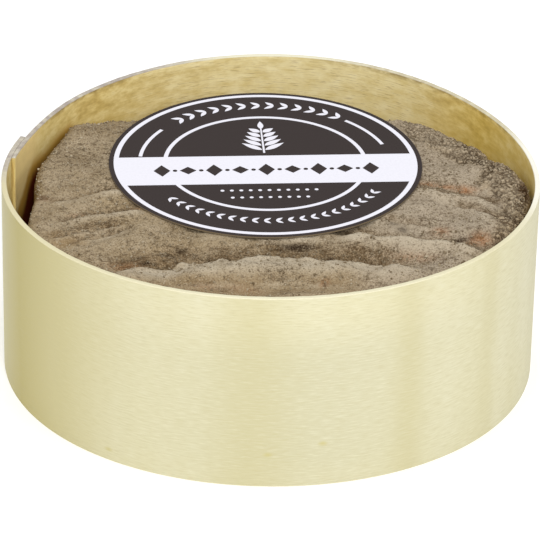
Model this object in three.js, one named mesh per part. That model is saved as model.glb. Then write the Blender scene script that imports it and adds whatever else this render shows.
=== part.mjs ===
// A soft cheese with an ash rind, in the open case of bent wood that it comes in,
// with a round card label lying on it.
//
// Millimetres, +Z up, +Y to the back. The origin is the middle of the case's foot.
// The case is one strip of veneer bent into a hoop, which overlaps itself on the left,
// round a thin board. The cheese has slumped against the hoop: it touches it on the right,
// stands off it on the left, and its rind lies in folds along the front.
import * as THREE from "three";

// Driving dimensions
const CASE_RADIUS = 57;
const CASE_HEIGHT = 43.4;
const VENEER = 1.1;
const BOARD_THICKNESS = 2;
const LABEL_RADIUS = 33.6;
const LABEL_THICKNESS = 0.4;
const LABEL_BELOW_RIM = 2;

// Fits: how far the pieces stand apart where they touch
const BOARD_GAP = 0.3;
const SIDE_CLEARANCE = 0.4;
const RESTING_GAP = 0.15;

// The bent hoop is not quite round. It is a little oval, long from back to front, and has slow
// waves, two, three and four to a turn. At the foot, where the board holds it, they are less.
const HOOP_OVAL = 0.27;
const HOOP_TWO_WAVE = 0.49;
const HOOP_THREE_WAVE = -1.09;
const HOOP_FOUR_WAVE = 0.2;
const HOOP_SHARE_AT_FOOT = 0.66;
// Its rim is not quite level either: it rises from the back to the front, and at both sides.
const RIM_RISE = 1.04;
const RIM_SIDE_RISE = 0.27;

// The lap, in degrees round the hoop from +X towards +Y: where the strip's outer end is,
// where its inner end is, and where it starts to bend in to pass under the outer end.
// The board and cheese ease out again within a few degrees of the inner end.
const LAP_OUTER_END = 166;
const LAP_INNER_END = 177;
const LAP_BEND_START = 138;
const LAP_EASE = 12;

// How finely the round faces are cut
const HOOP_STEPS = 120;
const LABEL_STEPS = 96;
const CHEESE_STEPS = 144;

const FULL_TURN = 360;
const QUARTER_TURN = Math.PI / 2;
const radians = (angle) => (angle * Math.PI) / 180;
const wrapped = (angle) => ((angle % FULL_TURN) + FULL_TURN) % FULL_TURN;
const mix = (a, b, t) => a + (b - a) * t;
const smooth = (t) => {
  const c = Math.min(1, Math.max(0, t));
  return c * c * (3 - 2 * c);
};

// A number that changes smoothly round the circle: knots are [angle in degrees, value].
function roundTheCircle(knots, angle) {
  const a = wrapped(angle);
  const next = knots.findIndex(([at]) => at > a);
  const [from, low] = knots[next === -1 ? knots.length - 1 : next - 1];
  const [to, high] = next === -1 ? [knots[0][0] + FULL_TURN, knots[0][1]] : knots[next];
  return mix(low, high, smooth((a - from) / (to - from)));
}

// The hoop

// How far the hoop stands out of a true circle at an angle and a height.
function hoopWave(angle, z) {
  const share = mix(HOOP_SHARE_AT_FOOT, 1, z / CASE_HEIGHT);
  const a = radians(angle);
  const two = HOOP_TWO_WAVE * Math.sin(2 * a) - HOOP_OVAL * Math.cos(2 * a);
  const three = HOOP_THREE_WAVE * Math.sin(3 * a);
  const four = HOOP_FOUR_WAVE * Math.cos(4 * a);
  return share * (two + three + four);
}

// How far the rim stands above the case's height, or below it at the back.
function rimRise(angle) {
  const a = radians(angle);
  return (RIM_RISE * (1 - Math.sin(a))) / 2 + RIM_SIDE_RISE * Math.cos(2 * a);
}

// How far the strip has bent in, followed from its outer end once round to its inner end.
function lapBend(along) {
  const start = LAP_BEND_START + FULL_TURN;
  const end = LAP_OUTER_END + FULL_TURN;
  return VENEER * smooth((along - start) / (end - start));
}

// How far the room inside the hoop has drawn in to clear the lap, all of it smooth.
function roomDip(angle) {
  const a = wrapped(angle);
  if (a < LAP_INNER_END) return lapBend(a + FULL_TURN);
  return VENEER * (1 - smooth((a - LAP_INNER_END) / LAP_EASE));
}

// The radius of the room inside the hoop at an angle and a height.
function roomRadius(angle, z) {
  return CASE_RADIUS - VENEER - roomDip(angle) + hoopWave(angle, z);
}

// Points of one full turn from a start angle, at a radius that depends on the angle.
function turnOfPoints(startAngle, radiusAt) {
  const points = [];
  for (let i = 0; i <= HOOP_STEPS; i++) {
    const angle = startAngle + (FULL_TURN * i) / HOOP_STEPS;
    const r = radiusAt(angle);
    points.push(new THREE.Vector2(r * Math.cos(radians(angle)), r * Math.sin(radians(angle))));
  }
  return points;
}

// Extrudes a plan shape upwards from the foot, and gives it the hoop's slow waves.
// Its top may rise by an amount that depends on the angle, and all below it in proportion.
function uprightAlongHoop(plan, height, riseAt = () => 0) {
  const geometry = new THREE.ExtrudeGeometry(plan, { depth: height, bevelEnabled: false });
  const position = geometry.getAttribute("position");
  for (let i = 0; i < position.count; i++) {
    const x = position.getX(i);
    const y = position.getY(i);
    const z = position.getZ(i);
    const angle = THREE.MathUtils.radToDeg(Math.atan2(y, x));
    const grown = 1 + hoopWave(angle, z) / Math.hypot(x, y);
    position.setXYZ(i, x * grown, y * grown, z + (riseAt(angle) * z) / height);
  }
  geometry.computeVertexNormals();
  return geometry;
}

// The outer line starts at the strip's outer end and the inner line at its inner end,
// so each line has a step of one thickness of veneer where it closes.
function hoopGeometry() {
  const outside = turnOfPoints(LAP_OUTER_END, (a) => CASE_RADIUS - lapBend(a));
  const inside = turnOfPoints(LAP_INNER_END, (a) => CASE_RADIUS - VENEER - lapBend(a));
  const plan = new THREE.Shape(outside);
  plan.holes.push(new THREE.Path(inside));
  return uprightAlongHoop(plan, CASE_HEIGHT, rimRise);
}

// The board that closes the foot of the hoop

function boardGeometry() {
  const edge = turnOfPoints(0, (a) => CASE_RADIUS - VENEER - roomDip(a) - BOARD_GAP);
  return uprightAlongHoop(new THREE.Shape(edge.slice(0, -1)), BOARD_THICKNESS);
}

// The label, a flat disc of card a little below the level of the rim

const LABEL_TOP = CASE_HEIGHT - LABEL_BELOW_RIM;
const LABEL_BOTTOM = LABEL_TOP - LABEL_THICKNESS;
const LABEL_CENTRE = new THREE.Vector2(-1.3, 8.6);

function labelGeometry() {
  const disc = new THREE.CylinderGeometry(LABEL_RADIUS, LABEL_RADIUS, LABEL_THICKNESS, LABEL_STEPS);
  disc.rotateX(QUARTER_TURN);
  return disc;
}

// The cheese: its plan and its section, each as [angle in degrees, millimetres]

// How far its side stands off the hoop
const SIDE_GAP = [
  [0, 0.4], [30, 0.8], [60, 2], [92, 2.5], [125, 1.8], [140, 1.5], [147, 1.5], [154, 2.6], [160, 2.6],
  [168, 2.8], [174, 3.6], [186, 5.6], [191, 4.6], [197, 2.7], [206, 1.2], [220, 0.8], [300, 0.5],
];
// How wide the rounded shoulder between its top and its side is
const SHOULDER_WIDTH = [
  [0, 3], [10, 3.6], [22, 10], [35, 14], [60, 15], [90, 15], [128, 14], [139, 10], [148, 3], [200, 2.2],
  [225, 6], [270, 9], [330, 6],
];
// How far down the shoulder reaches
const SHOULDER_DROP = [
  [0, 4], [10, 4.4], [22, 9], [35, 12], [60, 13], [90, 13], [128, 13], [139, 9], [148, 3.4], [200, 3],
  [225, 6], [270, 8], [330, 6],
];
// The height of its top where the shoulder begins
const CROWN_HEIGHT = [
  [0, 41.4], [12, 41], [19, 39.7], [30, 40.6], [38, 39.9], [60, 38.8], [90, 38.4], [125, 38.9],
  [139, 39.8], [150, 40.2], [190, 40.3], [225, 39.4], [270, 38.8], [315, 40.2],
];

const FOOT_ROUNDING = 3;
const CHEESE_BOTTOM = BOARD_THICKNESS + RESTING_GAP;
const CHEESE_TOP = LABEL_BOTTOM - RESTING_GAP;

// Its unevenness: slow lumps all over, and creases in the rind of the top

// A stream of numbers from 0 to 1 that is the same on every run
function seeded(seed) {
  let state = seed >>> 0;
  return () => {
    state = (Math.imul(state, 1664525) + 1013904223) >>> 0;
    return state / 4294967296;
  };
}

const LUMP_SEED = 7;
const LUMP_COUNT = 16;
const LUMP_SHORTEST = 8;
const LUMP_LONGEST = 24;
const LUMP_HEIGHT = 0.2;

// Waves that run in all directions, longer ones higher. Their sum is a lumpy surface.
function makeLumpWaves() {
  const draw = seeded(LUMP_SEED);
  return Array.from({ length: LUMP_COUNT }, () => {
    const wavelength = mix(LUMP_SHORTEST, LUMP_LONGEST, draw());
    const turn = 2 * Math.PI * draw();
    const rise = mix(-0.8, 0.8, draw());
    const level = Math.sqrt(1 - rise * rise);
    const direction = new THREE.Vector3(level * Math.cos(turn), level * Math.sin(turn), rise);
    return {
      pitch: direction.multiplyScalar((2 * Math.PI) / wavelength),
      start: 2 * Math.PI * draw(),
      height: (LUMP_HEIGHT * wavelength) / LUMP_LONGEST,
    };
  });
}
const LUMP_WAVES = makeLumpWaves();

function lumps(point) {
  const rise = (wave) => wave.height * Math.sin(wave.pitch.dot(point) + wave.start);
  return LUMP_WAVES.reduce((sum, wave) => sum + rise(wave), 0);
}

// Each crease is a line on the plan, walked so that the rind rolls up on its right-hand side.
const CREASES = [
  {
    through: [[-37, -38], [-27, -36], [-12, -33.6], [2, -30.6], [12, -32], [24, -32.5], [36, -31]],
    depth: 1.7, width: 2.3, roll: 1.2,
  },
  {
    through: [[-34, -32], [-21, -29.5], [-6, -27.5], [4, -27], [11, -25.5]],
    depth: 1.3, width: 2.2, roll: 0.3,
  },
  {
    through: [[11, -18.3], [17, -20.8], [25, -21], [34, -21.5], [41, -23], [48, -26]],
    depth: 1.5, width: 1.9, roll: 0.9,
  },
  {
    through: [[15, -16.5], [24, -16.5], [32, -19]],
    depth: 0.8, width: 2, roll: 0,
  },
  {
    through: [[28, 1.7], [36, 1], [42, -1], [48, -4.5]],
    depth: 1.1, width: 1.9, roll: 0.7,
  },
  {
    through: [[30, 23], [39, 16], [43.5, 7], [46, -2], [50, -9]],
    depth: 0.8, width: 2, roll: 0,
  },
  {
    through: [[-43, -16], [-36, -13], [-27, -11]],
    depth: 0.7, width: 1.8, roll: 0.4,
  },
  {
    through: [[-46, -29], [-38, -25], [-29, -20.5]],
    depth: 1, width: 1.8, roll: 0.6,
  },
  {
    through: [[-28, -41.5], [-12, -43], [2, -42], [16, -43]],
    depth: 1, width: 2, roll: 0.4,
  },
  {
    through: [[-47, -8.5], [-40, -5.5], [-32, -2]],
    depth: 0.6, width: 1.8, roll: 0.3,
  },
  {
    through: [[-26, 38], [-14, 42], [12, 43], [30, 36]],
    depth: 1, width: 2.4, roll: 0.8,
  },
];
const CREASE_STEPS = 24;
const CREASE_FADE = 0.16;

const CREASE_LINES = CREASES.map(({ through, ...sizes }) => {
  const curve = new THREE.SplineCurve(through.map(([x, y]) => new THREE.Vector2(x, y)));
  return { ...sizes, points: curve.getPoints(CREASE_STEPS) };
});

// The nearest place on a line: how far along it is, and how far off, more than 0 to its right.
function nearestOn(points, place) {
  let best = { off: Infinity };
  for (let i = 0; i < points.length - 1; i++) {
    const step = points[i + 1].clone().sub(points[i]);
    const t = Math.min(1, Math.max(0, place.clone().sub(points[i]).dot(step) / step.lengthSq()));
    const away = place.clone().sub(points[i].clone().addScaledVector(step, t));
    if (away.length() < Math.abs(best.off)) {
      const right = away.cross(step) > 0 ? 1 : -1;
      best = { off: right * away.length(), along: (i + t) / (points.length - 1) };
    }
  }
  return best;
}

function creaseRelief(place) {
  return CREASE_LINES.reduce((sum, { points, depth, width, roll }) => {
    const { off, along } = nearestOn(points, place);
    const fade = smooth(along / CREASE_FADE) * smooth((1 - along) / CREASE_FADE);
    const dip = depth * Math.exp(-((off / width) ** 2));
    const swell = roll * Math.exp(-(((off - 2 * width) / (1.4 * width)) ** 2));
    return sum + fade * (swell - dip);
  }, 0);
}

// The rings of its section, from the middle of the top outwards, down the side and under
const FIRST_RING = 0.34;
const TOP_RINGS = 14;
const SHOULDER_RINGS = 7;
const SIDE_RINGS = 4;
const FOOT_RINGS = 2;
const FLAT_UNDER_LABEL = 0.6;

// Each place has its radius and height before any unevenness, how far the surface has turned
// from facing up to facing out, and how much of the lumps and of the creases shows.
function section(angle) {
  const side = roomRadius(angle, CASE_HEIGHT / 2) - roundTheCircle(SIDE_GAP, angle);
  const width = roundTheCircle(SHOULDER_WIDTH, angle);
  const drop = roundTheCircle(SHOULDER_DROP, angle);
  const crown = roundTheCircle(CROWN_HEIGHT, angle);
  const places = [];
  for (let i = 0; i <= TOP_RINGS; i++) {
    const share = mix(FIRST_RING, 1, i / TOP_RINGS);
    const fall = smooth((share - FLAT_UNDER_LABEL) / (1 - FLAT_UNDER_LABEL));
    const z = mix(CHEESE_TOP, crown, fall);
    places.push({ r: share * (side - width), z, turned: 0, lumpy: 1, creased: 1 });
  }
  for (let i = 1; i <= SHOULDER_RINGS; i++) {
    const turned = QUARTER_TURN * (i / SHOULDER_RINGS);
    const r = side - width + width * Math.sin(turned);
    const z = crown - drop * (1 - Math.cos(turned));
    places.push({ r, z, turned, lumpy: 1, creased: Math.cos(turned) });
  }
  for (let i = 1; i <= SIDE_RINGS; i++) {
    const z = mix(crown - drop, CHEESE_BOTTOM + FOOT_ROUNDING, i / SIDE_RINGS);
    places.push({ r: side, z, turned: QUARTER_TURN, lumpy: 1, creased: 0 });
  }
  for (let i = 1; i <= FOOT_RINGS; i++) {
    const under = QUARTER_TURN * (i / FOOT_RINGS);
    const r = side - FOOT_ROUNDING * (1 - Math.cos(under));
    const z = CHEESE_BOTTOM + FOOT_ROUNDING * (1 - Math.sin(under));
    places.push({ r, z, turned: QUARTER_TURN, lumpy: Math.cos(under), creased: 0 });
  }
  return places;
}

const CLEAR_OF_LABEL = 2;
const RISE_BEYOND_LABEL = 0.4;

// Lifts a place of the section by the lumps and creases, and keeps it clear of the hoop and label.
function roughened({ r, z, turned, lumpy, creased }, angle) {
  const cos = Math.cos(radians(angle));
  const sin = Math.sin(radians(angle));
  const relief = lumpy * lumps(new THREE.Vector3(cos * r, sin * r, z));
  const folds = creased * creaseRelief(new THREE.Vector2(cos * r, sin * r));
  const height = z + Math.cos(turned) * relief + folds;
  const widest = roomRadius(angle, height) - SIDE_CLEARANCE;
  const reach = Math.min(r + Math.sin(turned) * relief, widest);
  const point = new THREE.Vector3(cos * reach, sin * reach, height);
  const beyond = Math.hypot(point.x - LABEL_CENTRE.x, point.y - LABEL_CENTRE.y) - LABEL_RADIUS;
  const highest = CHEESE_TOP + RISE_BEYOND_LABEL * Math.max(0, beyond - CLEAR_OF_LABEL);
  point.z = Math.min(point.z, highest);
  return point;
}

// Two triangles of a four-sided patch, cut along the diagonal that rises less, as a crease does.
function splitAlongFlatter(positions, a, b, c, d) {
  const rise = (p, q) => Math.abs(positions[3 * p + 2] - positions[3 * q + 2]);
  return rise(a, c) < rise(b, d) ? [a, b, c, a, c, d] : [a, b, d, b, c, d];
}

function cheeseGeometry() {
  const positions = [];
  let rings = 0;
  for (let j = 0; j < CHEESE_STEPS; j++) {
    const angle = (FULL_TURN * j) / CHEESE_STEPS;
    const places = section(angle);
    rings = places.length;
    places.forEach((place) => positions.push(...roughened(place, angle)));
  }
  const topMiddle = positions.length / 3;
  positions.push(0, 0, CHEESE_TOP);
  const bottomMiddle = topMiddle + 1;
  positions.push(0, 0, CHEESE_BOTTOM);

  const faces = [];
  for (let j = 0; j < CHEESE_STEPS; j++) {
    const here = j * rings;
    const next = ((j + 1) % CHEESE_STEPS) * rings;
    faces.push(topMiddle, here, next);
    for (let i = 0; i < rings - 1; i++) {
      faces.push(...splitAlongFlatter(positions, here + i, here + i + 1, next + i + 1, next + i));
    }
    faces.push(bottomMiddle, next + rings - 1, here + rings - 1);
  }
  const geometry = new THREE.BufferGeometry();
  geometry.setAttribute("position", new THREE.Float32BufferAttribute(positions, 3));
  geometry.setIndex(faces);
  geometry.computeVertexNormals();
  return geometry;
}

// Finishes

const paleWood = new THREE.MeshStandardMaterial({ color: 0xe6deae, roughness: 0.7, metalness: 0 });
const boardWood = new THREE.MeshStandardMaterial({ color: 0xdccf9c, roughness: 0.75, metalness: 0 });
const ashRind = new THREE.MeshStandardMaterial({ color: 0x9c8b71, roughness: 0.95, metalness: 0 });
const printedCard = new THREE.MeshStandardMaterial({ color: 0x453a36, roughness: 0.5, metalness: 0 });

// The object

function named(name, geometry, material) {
  const mesh = new THREE.Mesh(geometry, material);
  mesh.name = name;
  return mesh;
}

const pieces = new THREE.Group();
pieces.add(named("case_hoop", hoopGeometry(), paleWood));
pieces.add(named("case_board", boardGeometry(), boardWood));
pieces.add(named("cheese", cheeseGeometry(), ashRind));

const label = named("label", labelGeometry(), printedCard);
label.position.set(LABEL_CENTRE.x, LABEL_CENTRE.y, LABEL_BOTTOM + LABEL_THICKNESS / 2);
pieces.add(label);

// The waves put the hoop a little off its own middle, so the pieces move back over the origin.
const middle = new THREE.Box3().setFromObject(pieces).getCenter(new THREE.Vector3());
pieces.position.set(-middle.x, -middle.y, 0);

const cheeseInItsCase = new THREE.Group();
cheeseInItsCase.add(pieces);

export default cheeseInItsCase;
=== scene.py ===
# %% [markdown]
# # A soft ash-rind cheese in its bent-wood case
#
# The real thing is four pieces: a hoop bent from one strip of poplar veneer, a thin board
# that closes its foot, the soft cheese that has slumped inside it, and a round card label.
# This script dresses the measured frame of those pieces: every surface is built in code,
# and every finish is a tree of nodes. Shapes are worked out in millimetres and become
# metres only when a mesh is made, so the numbers read like a maker's drawing.

import math

import bmesh
import bpy
import numpy as np
from mathutils import Matrix, Vector
from mathutils.bvhtree import BVHTree


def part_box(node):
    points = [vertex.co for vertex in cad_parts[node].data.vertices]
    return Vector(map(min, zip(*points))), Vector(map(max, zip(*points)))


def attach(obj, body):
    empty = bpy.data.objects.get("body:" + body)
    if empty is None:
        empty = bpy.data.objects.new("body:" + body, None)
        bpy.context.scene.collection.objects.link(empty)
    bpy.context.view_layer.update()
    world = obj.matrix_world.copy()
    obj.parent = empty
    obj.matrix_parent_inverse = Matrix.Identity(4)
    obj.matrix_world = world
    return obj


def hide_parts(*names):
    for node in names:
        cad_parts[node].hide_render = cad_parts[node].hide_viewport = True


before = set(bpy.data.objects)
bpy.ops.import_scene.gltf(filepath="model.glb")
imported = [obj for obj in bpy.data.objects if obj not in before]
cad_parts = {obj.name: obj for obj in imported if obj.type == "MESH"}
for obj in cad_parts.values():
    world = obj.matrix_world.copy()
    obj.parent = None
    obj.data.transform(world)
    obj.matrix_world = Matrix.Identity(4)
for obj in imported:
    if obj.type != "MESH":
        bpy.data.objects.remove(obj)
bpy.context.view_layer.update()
MM = 0.001
print("frame pieces:", sorted(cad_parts))


# %% [markdown]
# ## The few sizes that everything follows
#
# The frame already holds each piece at its real size, so the script reads the sizes back
# from the pieces' boxes rather than repeating them. Only what a box can't say, such as the
# thickness of the veneer and where the strip overlaps itself, is written down here.

# %% Sizes from the frame
def box_mm(node):
    low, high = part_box(node)
    return np.array(low) / MM, np.array(high) / MM


hoop_high = box_mm("case_hoop")[1]
label_low, label_high = box_mm("label")
board_low, board_high = box_mm("case_board")

CASE_RADIUS = 57.0
VENEER = 1.1
RIM_RISE, RIM_SIDE_RISE = 1.04, 0.27


def rim_rise(angle):
    """How far the rim stands above the case's height, as it isn't quite level."""
    a = np.radians(angle)
    return RIM_RISE * (1 - np.sin(a)) / 2 + RIM_SIDE_RISE * np.cos(2 * a)


CASE_HEIGHT = hoop_high[2] - rim_rise(np.arange(360)).max()
LABEL_FROM_MIDDLE = np.array([-1.3, 8.6])
LABEL_MIDDLE = (label_low + label_high)[:2] / 2
LABEL_RADIUS = (label_high[0] - label_low[0]) / 2
MIDDLE = LABEL_MIDDLE - LABEL_FROM_MIDDLE
print("case height %.1f, label radius %.1f, middle of the hoop at %.2f, %.2f" % (
    CASE_HEIGHT, LABEL_RADIUS, MIDDLE[0], MIDDLE[1]))


# %% [markdown]
# ## Small tools for shapes
#
# A few helpers carry the whole script. Some blend numbers smoothly, some make uneven
# surfaces, and some turn lists of points and faces into a Blender mesh. The unevenness is
# gradient noise: a grid of random slopes, blended between the grid's corners. It is seeded,
# so every run gives the same cheese.

# %% Blending and noise
def mix(a, b, t):
    return a + (b - a) * t


def smooth(t):
    c = np.clip(t, 0, 1)
    return c * c * (3 - 2 * c)


def ramp(values, start, end):
    """0 before the start and 1 past the end, which may also run downwards."""
    return smooth((values - start) / (end - start))


NOISE_CELLS = 256
NOISE_GAIN = 1.6


def unevenness(points, size, seed):
    """Gradient noise from about -1 to 1 at points in millimetres, with lumps of that size."""
    rng = np.random.default_rng(seed)
    table = rng.permutation(NOISE_CELLS)
    slopes = rng.normal(size=(NOISE_CELLS, 3))
    slopes /= np.linalg.norm(slopes, axis=1, keepdims=True)
    p = points / size
    cell = np.floor(p).astype(int)
    inside = p - cell
    ease = inside ** 3 * (inside * (inside * 6 - 15) + 10)
    total = np.zeros(points.shape[:-1])
    for corner in np.ndindex(2, 2, 2):
        x, y, z = np.moveaxis((cell + corner) % NOISE_CELLS, -1, 0)
        pick = table[(table[(table[x] + y) % NOISE_CELLS] + z) % NOISE_CELLS]
        away = inside - corner
        weight = np.prod(np.where(np.array(corner) == 1, ease, 1 - ease), axis=-1)
        total += weight * np.sum(slopes[pick] * away, axis=-1)
    return total * NOISE_GAIN


def jitter(points, size, seeds):
    """An uneven step at each point, with one number for each seed."""
    return np.stack([unevenness(points, size, seed) for seed in seeds], axis=-1)


# %% Making a piece
def make_piece(name, points, faces, materials, slots=None, shade_smooth=True):
    """A mesh object from points in millimetres, faces, and the material number of each face."""
    mesh = bpy.data.meshes.new(name)
    mesh.from_pydata([tuple(p) for p in np.asarray(points) * MM], [], faces)
    for material in materials:
        mesh.materials.append(material)
    if slots is not None:
        mesh.polygons.foreach_set("material_index", np.asarray(slots, dtype=np.int32))
    mesh.polygons.foreach_set("use_smooth", [shade_smooth] * len(mesh.polygons))
    mesh.validate()
    mesh.update()
    piece = bpy.data.objects.new(name, mesh)
    bpy.context.scene.collection.objects.link(piece)
    print("%s: %d points, %d faces" % (name, len(mesh.vertices), len(mesh.polygons)))
    return piece


def grid_faces(columns, rows, closed_columns, closed_rows):
    """Four-sided faces between the points of a grid, stored column after column."""
    faces = []
    for i in range(columns if closed_columns else columns - 1):
        here = i * rows
        there = ((i + 1) % columns) * rows
        for j in range(rows if closed_rows else rows - 1):
            k = (j + 1) % rows
            faces.append((here + j, there + j, there + k, here + k))
    return faces


def around(a, r, z):
    """Points at an angle in radians, that far from the hoop's middle and that high."""
    x, y = MIDDLE[0] + r * np.cos(a), MIDDLE[1] + r * np.sin(a)
    return np.stack(np.broadcast_arrays(x, y, z), axis=-1)


# %% [markdown]
# ## Small tools for finishes
#
# A finish in Blender is a tree of nodes that ends in a Principled shader. Building it in code
# is easier to read when each node is one call, so this helper adds a node, sets its values
# and links in one go. Sizes are again in millimetres: a noise node wants the number of lumps
# in a metre, and the helper works that out. Most finishes below are a base with coats of
# colour over it, each with a share from 0, not there, to 1, all there.

# %% A finish as a small tree of nodes
def shade(red, green, blue):
    """A colour picked from a picture, 0 to 255, as the linear light that Blender works in."""
    def linear(c):
        c = c / 255
        return c / 12.92 if c <= 0.04045 else ((c + 0.055) / 1.055) ** 2.4
    return (linear(red), linear(green), linear(blue), 1.0)


class Finish:
    """One material, with short calls for the nodes that this object's finishes are made of."""

    def __init__(self, name, roughness, specular):
        self.material = bpy.data.materials.new(name)
        self.material.use_nodes = True
        self.tree = self.material.node_tree
        self.shader = self.tree.nodes["Principled BSDF"]
        self.shader.inputs["Roughness"].default_value = roughness
        self.shader.inputs["Specular IOR Level"].default_value = specular
        self.place = self.add("ShaderNodeTexCoord").outputs["Object"]

    def add(self, kind, values=None, **settings):
        node = self.tree.nodes.new(kind)
        for key, value in settings.items():
            setattr(node, key, value)
        for key, value in (values or {}).items():
            if isinstance(value, bpy.types.NodeSocket):
                self.tree.links.new(value, node.inputs[key])
            else:
                node.inputs[key].default_value = value
        return node

    def cloudy(self, where, scale, detail, roughness):
        values = {"Vector": where, "Scale": scale, "Detail": detail, "Roughness": roughness}
        return self.add("ShaderNodeTexNoise", values).outputs[0]

    def noise(self, size, detail=2.0, roughness=0.5):
        """Cloudy noise from 0 to 1 with lumps of a size in millimetres."""
        return self.cloudy(self.place, 1 / (size * MM), detail, roughness)

    def grain(self, where, detail=2.0, roughness=0.5):
        """The same noise in coordinates that are already counted in lumps."""
        return self.cloudy(where, 1.0, detail, roughness)

    def stretched(self, sizes, where=None):
        """Coordinates counted in lumps that are this many millimetres long in each direction."""
        values = {"Vector": where or self.place, "Scale": [1 / (s * MM) for s in sizes]}
        return self.add("ShaderNodeMapping", values, vector_type="POINT").outputs[0]

    def scaled(self, value, low, high, to_low=0.0, to_high=1.0):
        values = {"Value": value, "From Min": low, "From Max": high, "To Min": to_low, "To Max": to_high}
        return self.add("ShaderNodeMapRange", values).outputs[0]

    def plus(self, a, b):
        return self.add("ShaderNodeMath", {0: a, 1: b}, operation="ADD").outputs[0]

    def times(self, a, b):
        return self.add("ShaderNodeMath", {0: a, 1: b}, operation="MULTIPLY").outputs[0]

    def painted(self, name):
        """A number that was stored on the mesh, point by point."""
        return self.add("ShaderNodeAttribute", attribute_name=name).outputs["Fac"]

    def broken(self, name, noise, low, high, least=0.0, most=1.0):
        """A stored number, broken up by noise between two of the noise's values."""
        return self.times(self.painted(name), self.scaled(noise, low, high, least, most))

    def blend(self, share, a, b):
        """Colour b over colour a, by a share from 0 to 1."""
        node = self.add("ShaderNodeMix", {0: share, 6: a, 7: b}, data_type="RGBA", blend_type="MIX")
        return node.outputs[2]

    def coats(self, base, layers):
        """Coats over a base, the last one on top, each with its share and its colour."""
        for share, colour in layers:
            base = self.blend(share, base, shade(*colour))
        return base

    def colour(self, value):
        self.tree.links.new(value, self.shader.inputs["Base Color"])

    def relief(self, heights):
        """Bumps, each a height from 0 to 1 and how many millimetres that is."""
        normal = None
        for height, tall in heights:
            values = {"Height": height, "Distance": tall * MM, "Strength": 1.0}
            if normal is not None:
                values["Normal"] = normal
            normal = self.add("ShaderNodeBump", values).outputs[0]
        self.tree.links.new(normal, self.shader.inputs["Normal"])


# %% [markdown]
# ## The veneer of the hoop
#
# The hoop is peeled poplar: a log is turned against a knife, so the grain runs along the
# strip as very fine, short, level fibres. An image of wood would do, but the grain has to
# follow the bend, so each point of the strip stores how far along and how far up the flat strip
# it lay, and the noise is stretched along that. The few pin knots have fixed places: the node
# tree measures how far a place on the flat strip is from each. The outside is bare and pale,
# a little darker and warmer towards the lap.

# %% Finish of the outside
FIBRE_LONG, FIBRE_FINE = 2.8, 0.3
TONE_LONG, TONE_HIGH = 14.0, 60.0
KNOTS = [(235.4, 2.6), (281.9, 9.7), (270.4, 7.5), (120, 28), (80, 12), (24, 20)]
KNOT_LONG, KNOT_HIGH = 1.0, 0.55


def flat_strip(wood, long, high):
    """Coordinates along the flat strip, with lumps this long and this high in millimetres."""
    flat = wood.add("ShaderNodeUVMap", uv_map="flat_strip").outputs[0]
    return wood.stretched((long, high, 1), flat)


def pin_knots(wood):
    """0.8 at the middle of a pin knot, given by its angle and height, and 0 past its edge."""
    flat = flat_strip(wood, KNOT_LONG, KNOT_HIGH)
    total = 0.0
    for angle, z in KNOTS:
        middle = (math.radians(angle) * CASE_RADIUS / KNOT_LONG, z / KNOT_HIGH, 0)
        apart = wood.add("ShaderNodeVectorMath", {0: flat, 1: middle}, operation="DISTANCE")
        total = wood.plus(wood.scaled(apart.outputs["Value"], 0.2, 1.3, 0.8, 0), total)
    return total


def outside_finish():
    wood = Finish("veneer_outside", roughness=0.6, specular=0.3)
    fibres = wood.grain(flat_strip(wood, FIBRE_LONG, FIBRE_FINE), 3.0, 0.6)
    tone = wood.grain(flat_strip(wood, TONE_LONG, TONE_HIGH))
    clouds = wood.noise(22)
    base = wood.blend(wood.scaled(tone, 0.35, 0.68), shade(217, 212, 181), shade(211, 205, 169))
    wood.colour(wood.coats(base, [
        (wood.scaled(clouds, 0.4, 0.7, 0, 0.5), (213, 206, 167)),
        # painted shade: darker from below the rim down, most of all in front
        (wood.painted("painted_low_shade"), (201, 196, 164)),
        (wood.scaled(fibres, 0.28, 0.48, 0.45, 0), (224, 221, 197)),
        (wood.painted("warm"), (184, 172, 110)),
        (wood.scaled(fibres, 0.5, 0.72, 0, 0.5), (190, 181, 138)),
        (pin_knots(wood), (194, 184, 126)),
    ]))
    wood.relief([(fibres, 0.04), (tone, 0.05)])
    return wood.material


outside_wood = outside_finish()


# %% [markdown]
# The inside has drawn fat and ash from the cheese. It is straw yellow at the back, ochre on the
# right, mottled with soft brown near the rim, and smooth and tan where the lap is. Where the
# cheese has pulled away, a wet tide stands on the wall: olive brown at its edge, and further down
# dark and reddish, which is partly the wet stain and partly painted shade for the narrow gap
# between the wall and the cheese. The places are numbers stored on the mesh. Noise that is
# stretched along the strip breaks up the softer ones, because stains creep along the grain.

# %% Finish of the inside
MOTTLE_LONG, MOTTLE_HIGH = 4.5, 2.2
DASH_LONG, DASH_HIGH = 3.2, 0.24


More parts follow.
